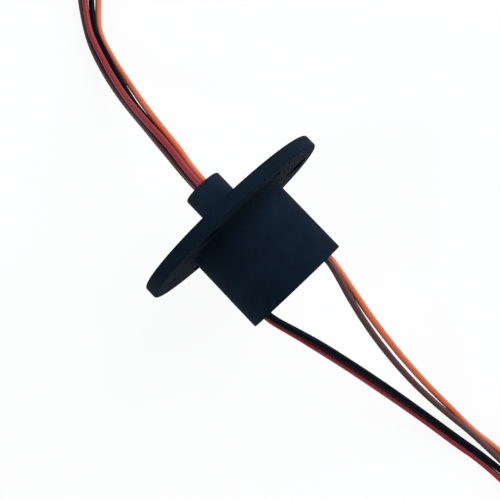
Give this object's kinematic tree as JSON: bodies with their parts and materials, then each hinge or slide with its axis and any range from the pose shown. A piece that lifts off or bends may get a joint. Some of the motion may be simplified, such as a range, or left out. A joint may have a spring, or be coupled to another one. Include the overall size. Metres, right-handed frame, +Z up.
{
  "type": "slip ring",
  "caption": "Capsule slip ring: cylindrical housing with a round mounting flange, a turning hollow shaft stub on the other side, and insulated wire leads from both ends.",
  "frame": {"origin": "centre of the flange's mounting face, on the housing side", "axes": "+X along the axis of rotation towards the housing's closed end, +Z up; the wires lie on a table at the flange's rim"},
  "size_m": [0.1786, 0.0613, 0.042],
  "materials": {
    "moulded_black": "fine moulded texture, matt",
    "shaft_black": "smooth moulded, satin",
    "seal_black": "matt",
    "potting_black": "cast resin, glossy",
    "bearing_steel": "ground",
    "ball_steel": "polished",
    "cage_brass": "stamped",
    "contact_gold": "gold plated, polished",
    "barrier_ivory": "smooth moulded",
    "board_green": "lacquered board",
    "tinned_copper": "tinned strands",
    "wire_orange": "satin insulation",
    "wire_red": "satin insulation",
    "wire_brown": "satin insulation",
    "wire_black": "satin insulation",
    "tie_white": "smooth nylon"
  },
  "bodies": {
    "stator": {"housing": "moulded_black", "end_cover": "moulded_black", "orange_brown_wire_seal": "seal_black", "black_red_wire_seal": "seal_black", "front_bearing_outer_race": "bearing_steel", "front_bearing_balls": "ball_steel", "front_bearing_cage": "cage_brass", "rear_bearing_outer_race": "bearing_steel", "rear_bearing_balls": "ball_steel", "rear_bearing_cage": "cage_brass", "brush_board_right": "board_green", "brush_board_left": "board_green", "brush_black": "contact_gold", "brush_brown": "contact_gold", "brush_red": "contact_gold", "brush_orange": "contact_gold", "stator_lead_black": "tinned_copper", "stator_lead_brown": "tinned_copper", "stator_lead_red": "tinned_copper", "stator_lead_orange": "tinned_copper", "stator_wire_black": "wire_black", "stator_wire_brown": "wire_brown", "stator_wire_red": "wire_red", "stator_wire_orange": "wire_orange", "stator_wire_coil": "wire_brown", "stator_coil_tie": "tie_white", "stator_wire_tips": "tinned_copper"},
    "rotor": {"rotor_shaft": "shaft_black", "wire_potting": "potting_black", "end_journal": "bearing_steel", "retaining_clip": "bearing_steel", "front_bearing_inner_race": "bearing_steel", "rear_bearing_inner_race": "bearing_steel", "slip_ring_black": "contact_gold", "slip_ring_brown": "contact_gold", "slip_ring_red": "contact_gold", "slip_ring_orange": "contact_gold", "ring_barrier_1": "barrier_ivory", "ring_barrier_2": "barrier_ivory", "ring_barrier_3": "barrier_ivory", "ring_barrier_4": "barrier_ivory", "ring_barrier_5": "barrier_ivory", "rotor_lead_black": "tinned_copper", "rotor_lead_brown": "tinned_copper", "rotor_lead_red": "tinned_copper", "rotor_lead_orange": "tinned_copper", "rotor_wire_black": "wire_black", "rotor_wire_brown": "wire_brown", "rotor_wire_red": "wire_red", "rotor_wire_orange": "wire_orange", "rotor_wire_coil": "wire_brown", "rotor_coil_tie": "tie_white", "rotor_wire_tips": "tinned_copper"}
  },
  "joints": [
    {"name": "rotor_spin", "type": "hinge", "parent": "stator", "child": "rotor", "pos_m": [0, 0, 0], "axis": [1, 0, 0], "continuous": true}
  ]
}
